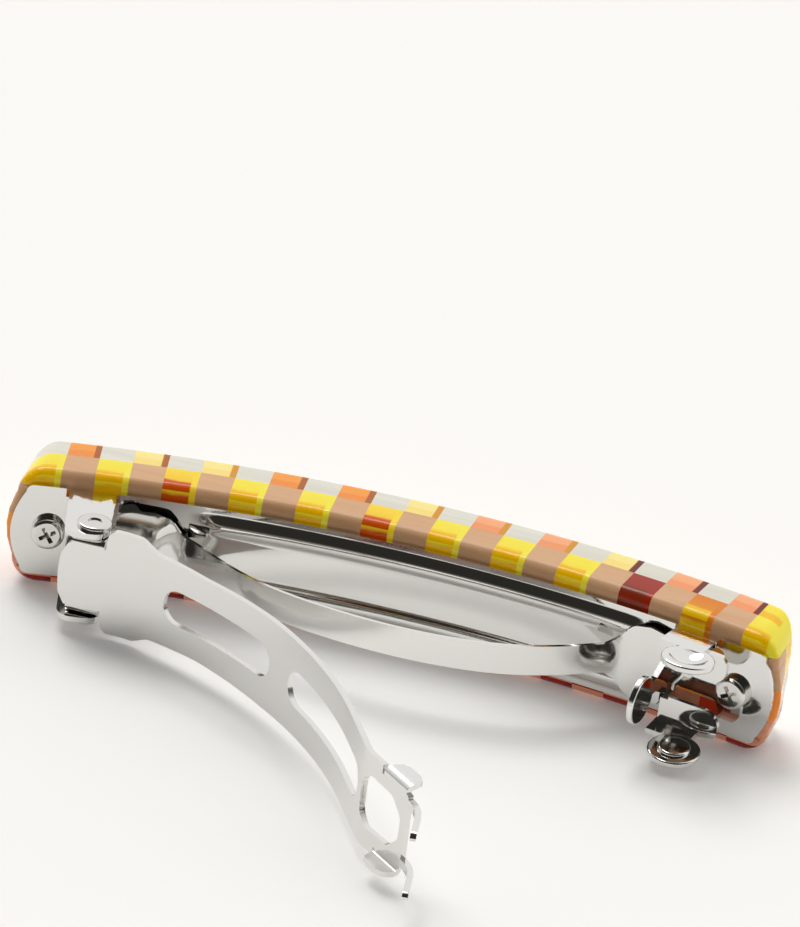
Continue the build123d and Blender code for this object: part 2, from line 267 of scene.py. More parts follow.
@dataclass(frozen=True)
class Acetate:
    """What both kinds of cellulose acetate share: a polished surface, some depth and a weak glow.

    The glow stands for light that enters a block from all round and leaves it in the block's own colour.
    """

    name: str
    roughness: float
    glow: float
    depth_mm: float
    depth_share: float
    depth_tint: tuple[float, float, float]
    refraction: float = 1.48
    sheen: float = 0.3

    def tile_colour(self, tree: bpy.types.NodeTree, layer: str) -> bpy.types.NodeSocket:
        """Read one of the tile colours stored on the mesh.

        Args:
            tree: the material's node tree.
            layer: name of the colour layer.

        Returns:
            The colour.
        """
        return add_node(tree, "ShaderNodeAttribute", {"attribute_name": layer}).outputs["Color"]

    def polish(
        self, tree: bpy.types.NodeTree, shader: bpy.types.Node, colour: bpy.types.NodeSocket
    ) -> None:
        """Give the shader its colour, depth and glow.

        Args:
            tree: the material's node tree.
            shader: its shader.
            colour: the finished tile colour.
        """
        tree.links.new(colour, shader.inputs["Base Color"])
        tree.links.new(colour, shader.inputs["Emission Color"])
        set_inputs(
            shader,
            {
                "Roughness": self.roughness,
                "IOR": self.refraction,
                "Specular IOR Level": self.sheen,
                "Subsurface Weight": self.depth_share,
                "Subsurface Radius": self.depth_tint,
                "Subsurface Scale": self.depth_mm * MM,
                "Emission Strength": self.glow,
            },
        )


@dataclass(frozen=True)
class ClearAcetate(Acetate):
    """Clear dyed acetate, cast and polished.

    A block's far faces show through it as a deeper step of painted shade, so each tile has a deep part below its
    light part, which is painted light sent back through the block by the pearl block behind it, and a strip of
    painted shade along one side, where the view through the block meets the darker side of the next block.
    """

    name: str = "clear_dyed_acetate"
    roughness: float = 0.09
    glow: float = 0.2
    depth_mm: float = 0.9
    depth_share: float = 0.35
    depth_tint: tuple[float, float, float] = (1.0, 0.6, 0.25)
    cloud_mm: float = 3.0
    cloud_shift: float = 0.22
    deep_to: float = 0.30
    light_from: float = 0.42
    light_at: float = 0.9
    deep_left: float = 0.15
    strip_from: float = 0.80
    strip_full: float = 0.83

    def build(self) -> bpy.types.Material:
        """Make the material from the tile colours stored on the mesh.

        Returns:
            The new material.
        """
        material, tree, shader = new_surface(self.name)
        light, deep, edge = (self.tile_colour(tree, layer) for layer in TILE_LAYERS)
        tile = add_node(tree, "ShaderNodeUVMap", {"uv_map": "tile"})
        place = add_node(tree, "ShaderNodeTexCoord").outputs["Object"]
        cloud = add_node(
            tree, "ShaderNodeTexNoise", {"Scale": 1 / (self.cloud_mm * MM), "Detail": 2.0}, Vector=place
        )
        split = add_node(tree, "ShaderNodeSeparateXYZ", Vector=tile.outputs["UV"])
        # the clouds move the step up and down by equal amounts
        shift = add_node(
            tree,
            "ShaderNodeMath",
            {"operation": "MULTIPLY_ADD", 1: self.cloud_shift, 2: -self.cloud_shift / 2},
        )
        tree.links.new(cloud.outputs["Fac"], shift.inputs[0])
        level = add_node(tree, "ShaderNodeMath", {"operation": "ADD"})
        tree.links.new(split.outputs["Y"], level.inputs[0])
        tree.links.new(shift.outputs["Value"], level.inputs[1])
        # the deep part below and the strip along one side are painted shade; the light part above is painted
        # light
        step = add_ramp(
            tree,
            level.outputs["Value"],
            [(self.deep_to, grey(1)), (self.light_from, grey(self.deep_left)), (self.light_at, grey(0))],
        )
        side = add_ramp(
            tree,
            split.outputs["X"],
            [(0.0, grey(0)), (self.strip_from, grey(0)), (self.strip_full, grey(1))],
        )
        self.polish(tree, shader, add_mix(tree, side, add_mix(tree, step, light, deep), edge))
        return material


@dataclass(frozen=True)
class PearlAcetate(Acetate):
    """Pearl acetate: milky sheet with drawn-out streaks of pearl pigment along the bar, polished."""

    name: str = "pearl_acetate"
    roughness: float = 0.3
    glow: float = 0.09
    depth_mm: float = 0.6
    depth_share: float = 0.2
    depth_tint: tuple[float, float, float] = (0.8, 0.6, 0.5)
    streak_mm: float = 0.8
    drawn_out: tuple[float, float, float] = (0.02, 0.5, 1.0)
    streak_from: float = 0.3
    streak_to: float = 0.7

    def build(self) -> bpy.types.Material:
        """Make the material from the tile colours stored on the mesh.

        Returns:
            The new material.
        """
        material, tree, shader = new_surface(self.name)
        light, deep = (self.tile_colour(tree, layer) for layer in TILE_LAYERS[:2])
        place = add_node(tree, "ShaderNodeTexCoord").outputs["Object"]
        drawn = add_node(tree, "ShaderNodeMapping", {"Scale": self.drawn_out}, Vector=place)
        streak = add_node(
            tree,
            "ShaderNodeTexNoise",
            {"Scale": 1 / (self.streak_mm * MM), "Detail": 4.0, "Roughness": 0.62},
            Vector=drawn.outputs["Vector"],
        )
        level = add_ramp(
            tree, streak.outputs["Fac"], [(self.streak_from, grey(0)), (self.streak_to, grey(1))]
        )
        self.polish(tree, shader, add_mix(tree, level, light, deep))
        return material


def plain(name: str, colour: str, roughness: float) -> bpy.types.Material:
    """Make a plain material for a matt or hidden surface.

    Args:
        name: name of the real finish.
        colour: sRGB hex colour.
        roughness: how matt it is.

    Returns:
        The new material.
    """
    material, _, shader = new_surface(name)
    set_inputs(shader, {"Base Color": linear(colour), "Roughness": roughness})
    return material


@dataclass(frozen=True)
class Bow:
    """The bow that the cover's back and the plate share: a cylinder about an axis along Z."""

    radius: float = 142.0
    centre_y: float = -145.6

    def point(self, station: float, height: float, level: float) -> Vector:
        """Place a point on the bow.

        Args:
            station: arc length along the cover's back from the middle.
            height: distance off the cover's back towards the hair.
            level: height above the standing surface.

        Returns:
            The point in metres.
        """
        turn = station / self.radius
        reach = self.radius - height
        return Vector((reach * math.sin(turn), self.centre_y + reach * math.cos(turn), level)) * MM


@dataclass
class TilePattern:
    """Chequer of acetate blocks: columns along the bar, two layers through it, rows across it."""

    pitch: float = 3.48
    columns: int = 23
    layer_at: float = 4.05
    rows: tuple[float, ...] = (1.0, 4.45, 7.95, 11.4)
    # the pearl is one stock in both layers: the front layer's whiter colour is a painted highlight from the
    # light above, the back layer's pinker colour is painted shade warmed by the blocks round it
    pearl_back_painted_shade: tuple[str, str] = ("#DCAF86", "#D3A276")
    pearl_low: tuple[str, str] = ("#E2A183", "#CF8565")
    pearl_front_painted_highlight: tuple[str, str] = ("#E6E4D8", "#D9D5C6")
    yellow: tuple[str, str] = ("#EFDF3A", "#EDB800")
    flame: tuple[str, str] = ("#F2D02A", "#CC5206")
    red: tuple[str, str] = ("#9C2410", "#823018")
    amber: tuple[str, str] = ("#D87A10", "#EBC010")
    # straw, orange and peach on the top row's front layer are amber with a painted reflection of the white light
    # above mixed in; orange is also the dyed colour of the third row
    straw_painted_sheen: tuple[str, str] = ("#F2E08C", "#F0D67A")
    orange: tuple[str, str] = ("#EE9A3A", "#E88A34")
    peach_painted_sheen: tuple[str, str] = ("#EFA876", "#EA935F")
    ember: tuple[str, str] = ("#E0581E", "#A82A0E")
    deep_red: tuple[str, str] = ("#8A1208", "#6E0C06")
    brick: tuple[str, str] = ("#B5361A", "#8A1A0C")
    # strips along one side of the clear blocks: painted shade where the view through a block meets the darker
    # side of the next block
    strip_brown: str = "#A85A14"
    strip_amber: str = "#D08E10"
    strip_red: str = "#6E1A0A"

    def edges(self) -> list[float]:
        """Find the column boundaries.

        Returns:
            Their stations along the bar.
        """
        half = self.columns / 2
        return [(i - half) * self.pitch for i in range(1, self.columns)]

    def cell(self, station: float, off: float, level: float) -> tuple[int, int, int]:
        """Column, layer and row of a place in the straightened bar.

        Args:
            station: distance along the bar from the middle.
            off: distance from the back towards the front.
            level: distance above the lower edge.

        Returns:
            Column, layer and row numbers.
        """
        column = int(math.floor(station / self.pitch + self.columns / 2))
        column = max(0, min(self.columns - 1, column))
        row = sum(level > edge for edge in self.rows)
        return column, int(off > self.layer_at), row

    def stock(self, cell: tuple[int, int, int]) -> Stock:
        """Tell which kind of block fills a cell.

        Args:
            cell: column, layer and row numbers.

        Returns:
            The kind of block.
        """
        column, layer, row = cell
        if column == self.columns - 1 and row == len(self.rows):
            return Stock.CLEAR
        return Stock.CLEAR if (column + layer + row) % 2 == 0 else Stock.PEARL

    def colours(self, cell: tuple[int, int, int]) -> tuple[str, str, str]:
        """Light, deep and side-strip colours of a cell.

        Args:
            cell: column, layer and row numbers.

        Returns:
            Three hex colours.
        """
        column, layer, row = cell
        if self.stock(cell) is Stock.PEARL:
            # front and back pearl colours: one pearl, painted lit (front) and painted shaded (back)
            light, deep = self.pearl_front_painted_highlight if layer else self.pearl_back_painted_shade
            if row < 2 and not layer:
                light, deep = self.pearl_low
            return light, deep, deep
        if row == len(self.rows):
            return self.top_front(column) if layer else self.top_back(column)
        light, deep = (self.deep_red, self.brick, self.orange, self.amber)[row]
        if row == 1 and column < 4:
            light, deep = self.ember
        return light, deep, deep

    def top_back(self, column: int) -> tuple[str, str, str]:
        """Colours of a clear block of the top row's back layer.

        Args:
            column: number of its column.

        Returns:
            Three hex colours.
        """
        special = {4: self.flame, 10: self.flame, 18: self.red, 20: self.amber}
        light, deep = special.get(column, self.yellow)
        return light, deep, light

    def top_front(self, column: int) -> tuple[str, str, str]:
        """Colours of a clear block of the top row's front layer; their paler tones mix a painted reflection of
        the white light above into the amber.

        Args:
            column: number of its column.

        Returns:
            Three hex colours.
        """
        special = dict.fromkeys((1, 7, 9), self.orange) | dict.fromkeys((13, 15, 19, 21), self.peach_painted_sheen)
        strips = dict.fromkeys((1, 3, 7, 9), self.strip_brown) | dict.fromkeys((17, 19, 21), self.strip_red)
        special[self.columns - 1] = self.yellow
        strips[self.columns - 1] = self.yellow[0]
        light, deep = special.get(column, self.straw_painted_sheen)
        return light, deep, strips.get(column, self.strip_amber)


def cut(bm: bmesh.types.BMesh, place: tuple, normal: tuple, near: float = 1e-5) -> None:
    """Cut every face along a plane.

    Args:
        bm: mesh to cut.
        place: a point of the plane.
        normal: its direction.
        near: how close to the plane a corner counts as on it.
    """
    geom = list(bm.verts) + list(bm.edges) + list(bm.faces)
    bmesh.ops.bisect_plane(bm, geom=geom, plane_co=place, plane_no=normal, dist=near)


def round_edges(bm: bmesh.types.BMesh, edges: list[bmesh.types.BMEdge], radius: float, steps: int) -> None:
    """Round edges of a mesh.

    Args:
        bm: the mesh.
        edges: its edges to round.
        radius: radius of the rounding.
        steps: segments of the rounding.
    """
    bmesh.ops.bevel(
        bm, geom=edges, offset=radius, segments=steps, profile=0.5, affect="EDGES", material=-1
    )


@dataclass
class AcetateCover:
    """The laminated bar: straight block, rounded, cut along its tile joints, then bent to the bow."""

    bow: Bow
    pattern: TilePattern
    half_length: float = 41.9
    end_bulge: float = 0.9
    width: float = 13.28
    thick: float = 7.6
    corner: float = 3.0
    front_round: float = 0.8
    back_round: float = 1.1
    end_taper: float = 4.8
    taper_steps: int = 12
    taper_crowding: float = 1.6
    level_steps: int = 8
    square_power: int = 8

    def straight_bar(self) -> bmesh.types.BMesh:
        """Make the rounded bar before it is bent, with x along it, y from back to front and z up.

        Returns:
            The mesh in millimetres.
        """
        bm = bmesh.new()
        half = self.half_length - self.end_bulge
        bmesh.ops.create_cube(bm, size=1.0)
        bmesh.ops.scale(bm, vec=(2 * half, self.thick, self.width), verts=bm.verts)
        bmesh.ops.translate(bm, vec=(0, self.thick / 2, self.width / 2), verts=bm.verts)
        upright = [e for e in bm.edges if abs(e.verts[0].co.y - e.verts[1].co.y) > 1]
        round_edges(bm, upright, self.corner, 10)
        for step in range(1, self.level_steps):
            cut(bm, (0, 0, self.width * step / self.level_steps), (0, 0, 1))
        for vert in bm.verts:
            if abs(vert.co.x) > half - 0.01:
                share = (vert.co.z - self.width / 2) / (self.width / 2 - self.corner)
                swell = self.end_bulge * max(0.0, 1 - share * share)
                vert.co.x += math.copysign(swell, vert.co.x)
        for place, size, steps in ((self.thick, self.front_round, 6), (0.0, self.back_round, 3)):
            rim = [
                e
                for e in bm.edges
                if all(abs(v.co.y - place) < 1e-4 for v in e.verts)
                and len(e.link_faces) == 2
                and abs(e.link_faces[0].normal.dot(e.link_faces[1].normal)) < 0.5
            ]
            round_edges(bm, rim, size, steps)
        return bm

    def cut_joints(self, bm: bmesh.types.BMesh) -> None:
        """Cut the bar along its tile joints, and across its ends where they are thinned.

        Args:
            bm: the straight bar.
        """
        for edge in self.pattern.edges():
            cut(bm, (edge, 0, 0), (1, 0, 0))
            cut(bm, (edge + self.pattern.pitch / 2, 0, 0), (1, 0, 0))
        for level in self.pattern.rows:
            cut(bm, (0, 0, level), (0, 0, 1))
        cut(bm, (0, self.pattern.layer_at, 0), (0, 1, 0))
        for step in range(1, self.taper_steps):
            inset = self.end_taper * (1 - step / self.taper_steps) ** self.taper_crowding
            for side in (1, -1):
                cut(bm, (side * (self.half_length - inset), 0, 0), (1, 0, 0))

    def paint(self, bm: bmesh.types.BMesh) -> None:
        """Store each face's tile colours, its place within the tile and its kind of block.

        Args:
            bm: the straight bar, cut along its joints.
        """
        bm.faces.ensure_lookup_table()
        uv = bm.loops.layers.uv.new("tile")
        layers = [bm.loops.layers.float_color.new(n) for n in TILE_LAYERS]
        pattern = self.pattern
        bounds = (-1.0,) + pattern.rows + (self.width + 1.0,)
        for face in bm.faces:
            centre = face.calc_center_median()
            cell = pattern.cell(centre.x, centre.y, centre.z)
            face.material_index = pattern.stock(cell).value
            colours = [linear(c) for c in pattern.colours(cell)]
            left = (cell[0] - pattern.columns / 2) * pattern.pitch
            low, high = bounds[cell[2]], bounds[cell[2] + 1]
            edge_on = abs(face.normal.z) > 0.6
            near = 0.0 if cell[1] == 0 else pattern.layer_at
            depth = pattern.layer_at if cell[1] == 0 else self.thick - pattern.layer_at
            for loop in face.loops:
                along = (loop.vert.co.x - left) / pattern.pitch
                across = (loop.vert.co.z - low) / (high - low)
                if edge_on:
                    across = (loop.vert.co.y - near) / depth
                loop[uv].uv = (along, across)
                for layer, colour in zip(layers, colours):
                    loop[layer] = colour

    def bend(self, bm: bmesh.types.BMesh) -> None:
        """Thin the bar towards its ends and bend it to the bow, in metres.

        Args:
            bm: the straight bar.
        """
        for vert in bm.verts:
            over = abs(vert.co.x) - (self.half_length - self.end_taper)
            if over > 0:
                left = self.thick - self.end_taper + math.sqrt(max(0.0, self.end_taper**2 - over**2))
                vert.co.y *= left / self.thick
            # the ends are sawn square to the bar's chord, while the joints inside stand square to the bow
            square = (abs(vert.co.x) / self.half_length) ** self.square_power
            vert.co.x *= 1 - square * vert.co.y / (self.bow.radius + vert.co.y)
            vert.co = self.bow.point(vert.co.x, -vert.co.y, vert.co.z)

    def build(self) -> bpy.types.Object:
        """Make the cover and let it stand for the plain CAD bar.

        Returns:
            The finished piece.
        """
        bm = self.straight_bar()
        self.cut_joints(bm)
        bmesh.ops.remove_doubles(bm, verts=bm.verts, dist=0.002)
        bmesh.ops.recalc_face_normals(bm, faces=bm.faces)
        bm.normal_update()
        self.paint(bm)
        self.bend(bm)
        piece = finish_mesh(bm, "chequered_cover", [ClearAcetate().build(), PearlAcetate().build()])
        weighted = piece.modifiers.new("even_shading", "WEIGHTED_NORMAL")
        weighted.keep_sharp = True
        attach(piece, "base")
        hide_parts("acetate_cover")
        LOG.info("cover: %d faces", len(piece.data.polygons))
        return piece


def finish_mesh(bm: bmesh.types.BMesh, name: str, materials: list[bpy.types.Material]) -> bpy.types.Object:
    """Turn a bmesh into a smooth-shaded object at the origin.

    Args:
        bm: the mesh in metres, which is freed.
        name: name of the new object.
        materials: its materials, in slot order.

    Returns:
        The new object.
    """
    for face in bm.faces:
        face.smooth = True
    mesh = bpy.data.meshes.new(name)
    bm.to_mesh(mesh)
    bm.free()
    for material in materials:
        mesh.materials.append(material)
    piece = bpy.data.objects.new(name, mesh)
    bpy.context.scene.collection.objects.link(piece)
    return piece


@dataclass(frozen=True)
class ArcPath:
    """Plan path of a bent strip: straight runs and tangent arcs as (length, turn in degrees)."""

    start: Point
    heading: float
    segments: tuple[tuple[float, float], ...]

    @property
    def length(self) -> float:
        """Whole length of the path."""
        return sum(run for run, _ in self.segments)

    def at(self, distance: float) -> tuple[float, float, float]:
        """Point and heading at a distance along the path.

        Args:
            distance: length from the start; beyond the end the path runs straight on.

        Returns:
            X, Y and the heading in radians.
        """
        x, y = self.start
        heading = math.radians(self.heading)
        left = distance
        for run, turn in self.segments:
            share = min(left, run)
            bend = math.radians(turn) * share / run
            chord = share * (math.sin(bend / 2) / (bend / 2) if bend else 1.0)
            x += chord * math.cos(heading + bend / 2)
            y += chord * math.sin(heading + bend / 2)
            heading += bend
            left -= share
            if left <= 0:
                return x, y, heading
        return x + left * math.cos(heading), y + left * math.sin(heading), heading


class PointPath:
    """Plan path through close points, read by its length."""

    def __init__(self, points: list[Point], passes: int = 70) -> None:
        """Smooth the points a little and measure the path.

        Args:
            points: the path's points, close together.
            passes: how many times each point moves to the middle of its neighbours.
        """
        for _ in range(passes):
            inner = [
                ((a[0] + 2 * b[0] + c[0]) / 4, (a[1] + 2 * b[1] + c[1]) / 4)
                for a, b, c in zip(points, points[1:], points[2:])
            ]
            points = [points[0]] + inner + [points[-1]]
        self.points = points
        self.marks = [0.0]
        for a, b in zip(points, points[1:]):
            self.marks.append(self.marks[-1] + math.dist(a, b))

    @property
    def length(self) -> float:
        """Whole length of the path."""
        return self.marks[-1]

    def at(self, distance: float) -> tuple[float, float, float]:
        """Point and heading at a distance along the path.

        Args:
            distance: length from the start.

        Returns:
            X, Y and the heading in radians.
        """
        i = bisect.bisect_right(self.marks, distance) - 1
        i = max(0, min(len(self.points) - 2, i))
        a, b = self.points[i], self.points[i + 1]
        share = (distance - self.marks[i]) / (self.marks[i + 1] - self.marks[i])
        before, after = self.points[max(0, i - 1)], self.points[min(len(self.points) - 1, i + 2)]
        heading = math.atan2(after[1] - before[1], after[0] - before[0])
        return a[0] + share * (b[0] - a[0]), a[1] + share * (b[1] - a[1]), heading


def rounded(corners: list[tuple[float, float, float]], steps: int = 6) -> list[Point]:
    """Close a loop through corners, each rounded by its own radius.

    Args:
        corners: x, y and radius of each corner in order.
        steps: segments of each rounding.

    Returns:
        The points of the loop.
    """
    loop: list[Point] = []
    count = len(corners)
    for i, (x, y, radius) in enumerate(corners):
        here = Vector((x, y))
        back = Vector(corners[i - 1][:2]) - here
        ahead = Vector(corners[(i + 1) % count][:2]) - here
        if radius <= 0:
            loop.append((x, y))
            continue
        half = back.angle(ahead) / 2
        reach = min(radius / math.tan(half), back.length * 0.49, ahead.length * 0.49)
        first = here + back.normalized() * reach
        last = here + ahead.normalized() * reach
        for k in range(steps + 1):
            share = k / steps
            point = first * (1 - share) ** 2 + here * 2 * share * (1 - share) + last * share * share
            loop.append((point.x, point.y))
    return loop


def ring_loop(x: float, y: float, radius: float, count: int) -> list[Point]:
    """Loop of a round hole.

    Args:
        x: middle of the hole along the first axis.
        y: middle of the hole along the second axis.
        radius: radius of the hole.
        count: how many points it has.

    Returns:
        The points of the loop.
    """
    turns = [math.radians(360 * k / count) for k in range(count)]
    return [(x + radius * math.cos(a), y + radius * math.sin(a)) for a in turns]


def slot_loop(centre: float, length: float, width: float, steps: int = 10) -> list[Point]:
    """Loop of a slot with round ends, lying along the first axis.

    Args:
        centre: middle of the slot along the axis.
        length: overall length.
        width: overall width.
        steps: segments of each round end.

    Returns:
        The points of the loop.
    """
    radius = width / 2
    reach = length / 2 - radius
    loop = []
    for side, start in ((1, -90), (-1, 90)):
        for k in range(steps + 1):
            angle = math.radians(start + 180 * k / steps)
            loop.append((centre + side * reach + radius * math.cos(angle), radius * math.sin(angle)))
    return loop


@dataclass
class Sheet:
    """A flat blank with openings, cut finely, pressed to shape by a mapping and given its thickness."""

    name: str
    outline: list[Point]
    holes: list[list[Point]]
    thickness: float
    edge_round: float = 0.09

    def blank(self, cuts: tuple[list[float], list[float]]) -> bmesh.types.BMesh:
        """Fill the outline around its openings and cut it along both axes.

        Args:
            cuts: cut positions along the first and the second axis.

        Returns:
            The flat blank in millimetres.
        """
        bm = bmesh.new()
        edges = []
        for loop in [self.outline] + self.holes:
            verts = [bm.verts.new((x, y, 0)) for x, y in loop]
            edges += [bm.edges.new(pair) for pair in zip(verts, verts[1:] + verts[:1])]
        bmesh.ops.triangle_fill(bm, use_beauty=True, use_dissolve=False, edges=edges, normal=(0, 0, 1))
        for axis, places in enumerate(cuts):
            normal = (1, 0, 0) if axis == 0 else (0, 1, 0)
            for place in places:
                cut(bm, (place, place, 0), normal, 1e-4)
        bmesh.ops.remove_doubles(bm, verts=bm.verts, dist=5e-4)
        bmesh.ops.recalc_face_normals(bm, faces=bm.faces)
        return bm

    def build(
        self,
        place: Callable[[float, float], Vector],
        cuts: tuple[list[float], list[float]],
        finish: bpy.types.Material,
        body: str,
        slot: Slot,
    ) -> bpy.types.Object:
        """Press the blank and finish it.

        Args:
            place: function from the blank's two coordinates to a point in metres.
            cuts: cut positions along both axes.
            finish: the material.
            body: CAD body that the piece rides on.
            slot: material slot of the record; not used.

        Returns:
            The finished piece.
        """
        bm = self.blank(cuts)
        for vert in bm.verts:
            vert.co = place(vert.co.x, vert.co.y)
        bmesh.ops.recalc_face_normals(bm, faces=bm.faces)
        piece = finish_mesh(bm, self.name, [finish])
        thick = piece.modifiers.new("sheet", "SOLIDIFY")
        thick.thickness = self.thickness * MM
        thick.offset = 0.0
        thick.use_even_offset = True
        soft = piece.modifiers.new("deburred_edges", "BEVEL")
        soft.width = self.edge_round * MM
        soft.segments = 2
        soft.limit_method = "ANGLE"
        soft.angle_limit = math.radians(50)
        soft.harden_normals = True
        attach(piece, body)
        LOG.info("%s: %d faces", self.name, len(piece.data.polygons))
        return piece


def spaced(first: float, last: float, step: float) -> list[float]:
    """Space numbers evenly from first to last, both included.

    Args:
        first: the first number.
        last: the last number.
        step: the spacing wanted, which is rounded to fit.

    Returns:
        The numbers.
    """
    count = max(1, round((last - first) / step))
    return [first + (last - first) * i / count for i in range(count + 1)]


def ease(value: float) -> float:
    """Step smoothly from 0 to 1.

    Args:
        value: place within the step, from 0 to 1.

    Returns:
        The eased value.
    """
    value = max(0.0, min(1.0, value))
    return value * value * (3 - 2 * value)


@dataclass
class PressedPlate:
    """Base plate: bowed sheet with two long beads, hinge ears, catch stubs and openings."""

    bow: Bow
    finish: bpy.types.Material
    half_width: float = 5.12
    half_length: float = 39.9
    end_bulge: float = 1.3
    end_corner: float = 0.8
    sheet: float = 0.58
    mid_height: float = 0.32
    bend: float = 0.55
    bead_at: float = 3.2
    bead_half: float = 1.2
    bead_rise: float = 0.42
    bead_from: float = -21.5
    bead_to: float = 26.6
    bead_run: float = 1.6
    middle_rise: float = 0.22
    middle_past: float = 1.4
    middle_blend: float = 0.9
    flange_slack: float = 0.05
    ear: tuple[float, float, float, float] = (-35.45, -30.55, 10.1, 1.7)
    stub: tuple[float, float, float, float] = (29.8, 34.5, 1.6, 0.0)
    rivet: tuple[float, float] = (-32.26, 7.9)
    screws: tuple[float, ...] = (-37.3, 36.8)
    screw_hole: float = 0.95
    shade_sheet_height: float = 0.14
    lance_off: float = 2.2
    lance_foot: float = 0.5
    lance_slope: float = 0.35

    def flange_top(self, height: float) -> float:
        """Find the place in the flat blank that comes to a height once its flange is bent up.

        Args:
            height: distance off the cover's back.

        Returns:
            Distance from the blank's middle.
        """
        start = self.half_width - self.sheet / 2 - self.bend
        return start + self.bend * math.pi / 2 + height - self.mid_height - self.bend

    def place(self, station: float, across: float) -> Vector:
        """Press a point of the blank onto the bow, with its beads and flanges.

        Args:
            station: place along the blank.
            across: place across it.

        Returns:
            The point in metres.
        """
        reach, side = abs(across), math.copysign(1.0, across)
        start = self.half_width - self.sheet / 2 - self.bend
        height = self.mid_height
        slack = self.flange_slack
        flanged = any(f[0] - slack <= station <= f[1] + slack for f in (self.ear, self.stub))
        if flanged and reach > start:
            arc = self.bend * math.pi / 2
            angle = min(reach - start, arc) / self.bend
            height += self.bend * (1 - math.cos(angle)) + max(0.0, reach - start - arc)
            reach = start + self.bend * math.sin(angle)
        else:
            spread = abs(reach - self.bead_at) / self.bead_half
            begin, end = station - self.bead_from, self.bead_to - station
            ends = ease(begin / self.bead_run) * ease(end / self.bead_run)
            if spread < 1:
                height += self.bead_rise * ends * (0.5 + 0.5 * math.cos(math.pi * spread))
            inside = (self.bead_at + self.middle_past - reach) / self.middle_blend
            height += self.middle_rise * ends * ease(inside)
        return self.bow.point(station, height, MID_Z + side * reach)

    def half_outline(self) -> list[Point]:
        """Draw the upper edge of the blank from its left end to its right end.

        Returns:
            The points of the edge.
        """
        end, wide = self.half_length, self.half_width
        line = []
        for k in range(7):
            angle = math.radians(180 - 90 * k / 6)
            line.append(
                (
                    -end + self.end_corner * (1 + math.cos(angle)),
                    wide - self.end_corner * (1 - math.sin(angle)),
                )
            )
        for first, last, height, corner in (self.ear, self.stub):
            top = self.flange_top(height)
            foot = wide - self.sheet / 2 - self.bend - 0.1
            line += [(first - 0.35, wide), (first - 0.35, foot), (first, foot)]
            radius = max(corner, 0.15)
            for begin, centre in ((180, first + radius), (90, last - radius)):
                for k in range(7):
                    angle = math.radians(begin - 90 * k / 6)
                    line.append((centre + radius * math.cos(angle), top - radius + radius * math.sin(angle)))
            line += [(last, foot), (last + 0.35, foot), (last + 0.35, wide)]
        for k in range(7):
            angle = math.radians(90 - 90 * k / 6)
            line.append(
                (
                    end - self.end_corner * (1 - math.cos(angle)),
                    wide - self.end_corner * (1 - math.sin(angle)),
                )
            )
        for k in range(1, 8):
            level = (wide - self.end_corner) * (1 - k / 8)
            share = level / (wide - self.end_corner)
            line.append((end + self.end_bulge * (1 - share * share), level))
        return line

    def build(self) -> list[bpy.types.Object]:
        """Make the plate and let it stand for the CAD plate.

        Returns:
            The plate and its two lances.
        """
        upper = self.half_outline()
        tip = (self.half_length + self.end_bulge, 0.0)
        left = [(-x, y) for x, y in reversed(upper[-7:])]
        outline = upper + [tip] + [(x, -y) for x, y in reversed(upper)]
        outline += [(x, -y) for x, y in reversed(left)] + [(-tip[0], 0.0)] + left
        holes = []
        for side in (1, -1):
            for corners in (
                [(-30.0, 2.6, 0.4), (-30.0, 3.9, 0.5), (-29.2, 4.55, 0.5), (-25.0, 4.3, 1.2), (-23.6, 2.9, 0.6)],
                [(25.2, 2.9, 0.5), (26.6, 4.1, 1.0), (28.7, 4.5, 0.5), (29.3, 3.9, 0.4), (29.3, 2.9, 0.4)],
                [(30.3, 1.6, 0.6), (30.3, 4.1, 0.4), (35.3, 4.1, 1.0), (35.3, 1.6, 1.0)],
            ):
                holes.append(rounded([(x, side * y, r) for x, y, r in corners]))
        for station in self.screws:
            holes.append(ring_loop(station, 0.0, self.screw_hole, 24))
        level = self.flange_top(self.rivet[1])
        for side in (1, -1):
            holes.append([(x, side * y) for x, y in ring_loop(self.rivet[0], level, RIVET_HOLE_R, 18)])
        across = spaced(-4.8, 4.8, 0.2)
        flange = self.half_width - self.sheet / 2 - self.bend
        across += [side * (flange + self.bend * math.pi / 2 * k / 5) for side in (1, -1) for k in range(6)]
        # a dark sheet of painted shade goes under the first two openings on each side
        for number, hole in enumerate(holes):
            if number % 3 < 2 and number < 6:
                self.pocket(hole)
        piece = Sheet("pressed_plate", outline, holes, self.sheet).build(
            self.place, (spaced(-40, 40, 1.0), sorted(across)), self.finish, "base", Slot.PLATE
        )
        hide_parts("base_plate")
        return [piece] + [self.lance(-21.8, 1), self.lance(22.4, -1)]

    def pocket(self, loop: list[Point]) -> bpy.types.Object:
        """Put a dark sheet of painted shade in the hollow that shows through an opening, where the spring's
        hooks reach behind.

        Args:
            loop: outline of the opening in the blank.

        Returns:
            The dark sheet of painted shade.
        """

        def place(station: float, across: float) -> Vector:
            return self.bow.point(station, self.shade_sheet_height, MID_Z + across)

        # near-black: painted shade of the hollow behind the opening
        shade_sheet = bpy.data.materials.get("pocket_painted_shade") or plain(
            "pocket_painted_shade", "#120B07", 0.45
        )
        stations = [x for x, _ in loop]
        return Sheet("hook_pocket_shade_sheet", loop, [], 0.2, 0.02).build(
            place, (spaced(min(stations) + 0.5, max(stations) - 0.5, 0.8), []), shade_sheet, "base", Slot.PLATE
        )

    def lance(self, station: float, side: int) -> bpy.types.Object:
        """Make a small tongue lanced out of the plate that holds the spring.

        Args:
            station: where the tongue's root lies.
            side: +1 when the tongue rises towards the catch, -1 towards the hinge.

        Returns:
            The tongue.
        """
        outline = rounded([(0, -0.8, 0.1), (2.0, -0.2, 0.2), (2.0, 0.2, 0.2), (0, 0.8, 0.1)])

